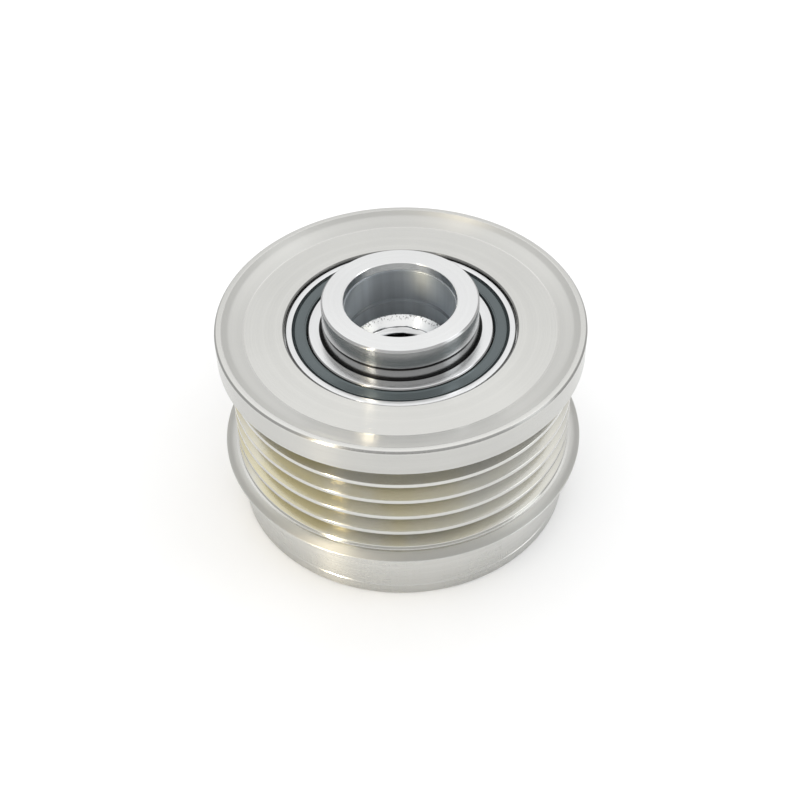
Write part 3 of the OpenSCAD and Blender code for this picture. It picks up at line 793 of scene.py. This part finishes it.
def make_bearing(place, outside_up):
    """The visible pieces of one bearing. outside_up tells which of its faces looks out."""
    low, high = low_z(place + "_outer_ring"), high_z(place + "_outer_ring")
    outer_r = radius_of(place + "_outer_ring")
    out, inward = (high, -1) if outside_up else (low, 1)
    ring = turned_metal(place + "_ring_steel", (0.74, 0.745, 0.75), 0.19, marks=0.05, depth=0.0003,
                        grain=0.15, anisotropy=0.7)
    edge = sorted((out, out + inward * RING_CHAMFER_W))
    # painted shade on the outer ring's chamfer by the seam, and on the inner ring beside the hub and at its
    # outer edge
    paint_shade(ring, (outer_r - 0.2, outer_r - 0.05), edge, 0.6)
    paint_shade(ring, (HUB_R - 0.1, HUB_R + 0.48), sorted((out, out + inward * 2 * RING_CHAMFER_W)), 0.3)
    paint_shade(ring, (INNER_RING_R - 0.16, INNER_RING_R + 0.05), edge, 0.35)
    for node, body, outline in (("_outer_ring", "outer", outer_ring_outline(low, high, outer_r)),
                                ("_inner_ring", "inner", inner_ring_outline(low, high, HUB_R))):
        piece = lathe(place + node + "_ground", rounded(outline), ring.material)
        put(piece, body, place + node)
    skin = rubber(place + "_seal_rubber", (0.006, 0.009, 0.010))
    for node, face, side in (("_outer_seal", out, -inward), ("_inner_seal", low + high - out, inward)):
        seal = lathe(place + node + "_moulded", rounded(seal_outline(face, side)), skin.material)
        put(seal, "outer", place + node)


def make_retaining_rings():
    n = rolled_metal("phosphated_steel", (0.10, 0.10, 0.105), 0.42, 0.3)
    for node, body, outlines in (("pulley_snap_ring", "outer", pulley_ring_outlines()),
                                 ("hub_snap_ring", "inner", hub_ring_outlines())):
        height = high_z(node) - low_z(node)
        piece = plate(node + "_stamped", outlines, low_z(node), height, SNAP_EDGE, n.material)
        put(piece, body, node)


def dress(material, *nodes):
    """Gives carried-over CAD nodes a material."""
    for node in nodes:
        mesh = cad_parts[node].data
        mesh.materials.clear()
        mesh.materials.append(material)


def dress_inside():
    """Materials of everything between the seals, which stays as the CAD made it."""
    dress(turned_metal("ball_steel", (0.76, 0.76, 0.77), 0.08, marks=0.3, depth=0.0002, grain=0.1,
                       anisotropy=0.0).material, "rear_balls", "front_balls")
    dress(plastic("cage_nylon", (0.36, 0.27, 0.15)).material, "rear_ball_cage", "front_ball_cage")
    dress(plastic("clutch_nylon", (0.035, 0.037, 0.035)).material, "clutch_cage")
    dress(turned_metal("clutch_race_steel", (0.5, 0.5, 0.51), 0.25, marks=0.08).material,
          "clutch_cam_ring", "clutch_inner_sleeve")
    dress(rolled_metal("roller_steel", (0.7, 0.7, 0.72), 0.12).material, "clutch_rollers")
    dress(rolled_metal("blued_spring_steel", (0.22, 0.25, 0.33), 0.3, 0.35).material, "clutch_springs")
    dress(turned_metal("pressed_plate_steel", (0.55, 0.55, 0.54), 0.35, marks=0.2).material,
          "clutch_rear_plate", "clutch_front_plate", "rear_spacer", "front_spacer", "seal_inserts")


# ---------------------------------------------------------------- stage, lights and camera

FLOOR_R = 3.0
CAMERA_PLACE = (-0.38, -169.81, 182.38)
CAMERA_TILT = math.radians(44.28)
CAMERA_ROLL = math.radians(-1.37)
CAMERA_LENS = 63.79
CAMERA_SENSOR = 36.0


def make_floor():
    n = Nodes("floor_white")
    position = n.add("ShaderNodeTexCoord", output="Object")
    shade = n.vary(n.noise(position, 30.0, 3.0, 0.5), 0.925, 0.94)
    n.set("Base Color", n.add("ShaderNodeCombineColor", {0: shade, 1: shade, 2: shade}))
    n.set("Roughness", 0.7)
    n.set("Specular IOR Level", 0.2)
    bm = bmesh.new()
    bmesh.ops.create_circle(bm, cap_ends=True, segments=96, radius=FLOOR_R)
    mesh = bpy.data.meshes.new("floor")
    bm.to_mesh(mesh)
    bm.free()
    mesh.materials.append(n.material)
    floor = bpy.data.objects.new("floor", mesh)
    floor.location.z = cad_box[0].z
    bpy.context.scene.collection.objects.link(floor)


def make_world():
    """A white studio whose brightness goes by height: 0 at the horizon, 1 straight overhead."""
    world = bpy.data.worlds.new("studio")
    bpy.context.scene.world = world
    world.use_nodes = True
    tree = world.node_tree
    sky = tree.nodes["Background"]
    direction = tree.nodes.new("ShaderNodeTexCoord")
    parts = tree.nodes.new("ShaderNodeSeparateXYZ")
    ramp = tree.nodes.new("ShaderNodeValToRGB")
    tree.links.new(direction.outputs["Generated"], parts.inputs[0])
    tree.links.new(parts.outputs[2], ramp.inputs[0])
    tree.links.new(ramp.outputs[0], sky.inputs[0])
    horizon, overhead = ramp.color_ramp.elements
    horizon.position, horizon.color = 0.0, rgb(0.80, 0.80, 0.80)
    overhead.position, overhead.color = 1.0, rgb(0.72, 0.72, 0.72)
    for place, level in ((0.2, 0.80), (0.58, 0.76), (0.73, 1.0), (0.85, 0.88)):
        stop = ramp.color_ramp.elements.new(place)
        stop.color = rgb(level, level, level)
    sky.inputs[1].default_value = 1.22


def make_softbox(name, azimuth, elevation, width, height, watts, distance=0.8, colour=(1, 1, 1),
                 glossy=True, diffuse=True):
    """An area light that looks at the pulley. Azimuth 0 is the camera's side, positive to the right.

    Metal doesn't mirror a light that isn't glossy, and the floor isn't lit by one that isn't diffuse.
    """
    a, e = math.radians(azimuth), math.radians(elevation)
    aim = Vector((0, 0, (cad_box[0].z + cad_box[1].z) / 2))
    away = Vector((math.sin(a) * math.cos(e), -math.cos(a) * math.cos(e), math.sin(e)))
    data = bpy.data.lights.new(name, "AREA")
    data.shape = "RECTANGLE"
    data.size, data.size_y = width, height
    data.energy = watts
    data.color = colour
    lamp = bpy.data.objects.new(name, data)
    lamp.location = aim + away * distance
    lamp.rotation_mode = "QUATERNION"
    lamp.rotation_quaternion = away.to_track_quat("Z", "Y")
    lamp.visible_glossy = glossy
    lamp.visible_diffuse = diffuse
    bpy.context.scene.collection.objects.link(lamp)


def make_lights():
    """A fill and an overhead box, a window on the right, and strips that give the streaks on the left."""
    make_softbox("overhead", 180, 66, width=0.7, height=0.5, watts=0.2, distance=0.9)
    make_softbox("fill", 0, 89, width=2.0, height=2.0, watts=5.5, distance=1.5, glossy=False)
    left = -42.5
    for turn in (-2.2, 0.0, 2.2):
        make_softbox("warm_strip", left + turn, 15, width=0.008, height=0.24, watts=1.5,
                     colour=(1.0, 0.86, 0.60), diffuse=False)
    make_softbox("left_strip", left, 34, width=0.06, height=0.4, watts=0.4,
                 colour=(1.0, 0.95, 0.86), diffuse=False)
    make_softbox("right_window", 78, 28, width=0.3, height=0.5, watts=0.7, colour=(0.95, 0.98, 1.0))


def make_camera():
    """The camera looks along +Y, down by its tilt and turned about its view by its roll."""
    right = Vector((1, 0, 0))
    up = Vector((0, math.sin(CAMERA_TILT), math.cos(CAMERA_TILT)))
    forward = Vector((0, math.cos(CAMERA_TILT), -math.sin(CAMERA_TILT)))
    across = right * math.cos(CAMERA_ROLL) + up * math.sin(CAMERA_ROLL)
    upward = up * math.cos(CAMERA_ROLL) - right * math.sin(CAMERA_ROLL)
    data = bpy.data.cameras.new("camera")
    data.sensor_width = CAMERA_SENSOR
    data.lens = CAMERA_LENS
    data.clip_start, data.clip_end = 0.01, 20
    camera = bpy.data.objects.new("camera", data)
    turn = Matrix((across, upward, -forward)).transposed().to_4x4()
    camera.matrix_world = Matrix.Translation(Vector(CAMERA_PLACE) * MM) @ turn
    bpy.context.scene.collection.objects.link(camera)
    bpy.context.scene.camera = camera


make_camera()
make_floor()
make_world()
make_lights()
make_rim()
make_hub()
make_bearing("rear", True)
make_bearing("front", False)
make_retaining_rings()
dress_inside()
bpy.context.scene.view_settings.view_transform = "Standard"
